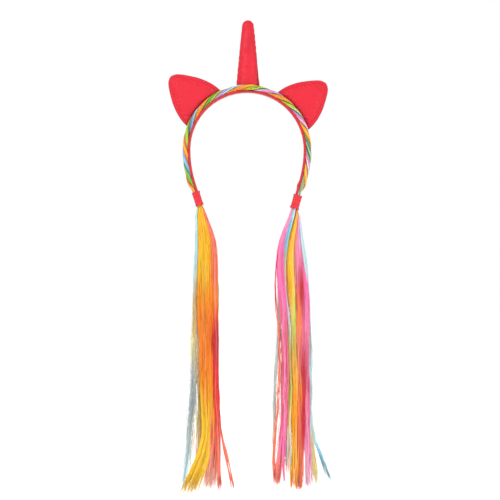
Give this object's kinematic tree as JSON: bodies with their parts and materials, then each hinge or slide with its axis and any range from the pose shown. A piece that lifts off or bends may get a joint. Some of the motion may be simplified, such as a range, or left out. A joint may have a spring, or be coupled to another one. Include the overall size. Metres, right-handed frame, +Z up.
{
  "type": "unicorn horn headband",
  "caption": "Costume headband with a stuffed horn, padded ears, a twist of dyed hair along the bow and a long hair tail bound on at each end.",
  "frame": {"origin": "middle of the bow's inner face at its crown, where a head carries it", "axes": "+Z up through the horn, +X to the right of the front view, front towards -Y"},
  "size_m": [0.1682, 0.0188, 0.4941],
  "materials": {
    "red_ribbon": "satin ribbon wound on a thin bow",
    "red_satin": "woven satin, stuffed",
    "orange_hair": "glossy synthetic hair",
    "green_hair": "glossy synthetic hair",
    "pink_hair": "glossy synthetic hair",
    "orange_tail_hair": "straight synthetic hair in warm streaks",
    "pink_tail_hair": "straight synthetic hair in pink and mixed streaks"
  },
  "bodies": {
    "root": {"band": "red_ribbon", "end_wrap_left": "red_ribbon", "end_wrap_right": "red_ribbon", "horn": "red_satin", "ear_left": "red_satin", "ear_right": "red_satin", "twist_strand_orange": "orange_hair", "twist_strand_green": "green_hair", "twist_strand_pink": "pink_hair", "hair_tail_left": "orange_tail_hair", "hair_tail_right": "pink_tail_hair"}
  },
  "joints": []
}
